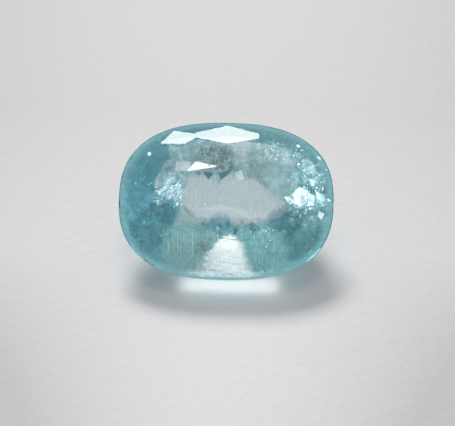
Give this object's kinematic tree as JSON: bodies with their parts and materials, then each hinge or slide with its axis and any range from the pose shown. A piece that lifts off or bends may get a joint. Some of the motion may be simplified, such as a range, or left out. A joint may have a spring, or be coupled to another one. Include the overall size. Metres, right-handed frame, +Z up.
{
  "type": "faceted aquamarine gemstone",
  "caption": "Loose cushion-oval cut aquamarine with a flat table, faceted crown and keeled pavilion, lying tipped on a pavilion facet.",
  "frame": {"origin": "centre of the bounding box on the plane the stone lies on", "axes": "+Z up, +X along the long axis of the stone, -Y the side that the table leans towards"},
  "size_m": [0.014, 0.009, 0.0077],
  "materials": {
    "aquamarine": "polished, transparent blue-green with natural inclusions"
  },
  "bodies": {
    "root": {"gem": "aquamarine"}
  },
  "joints": []
}
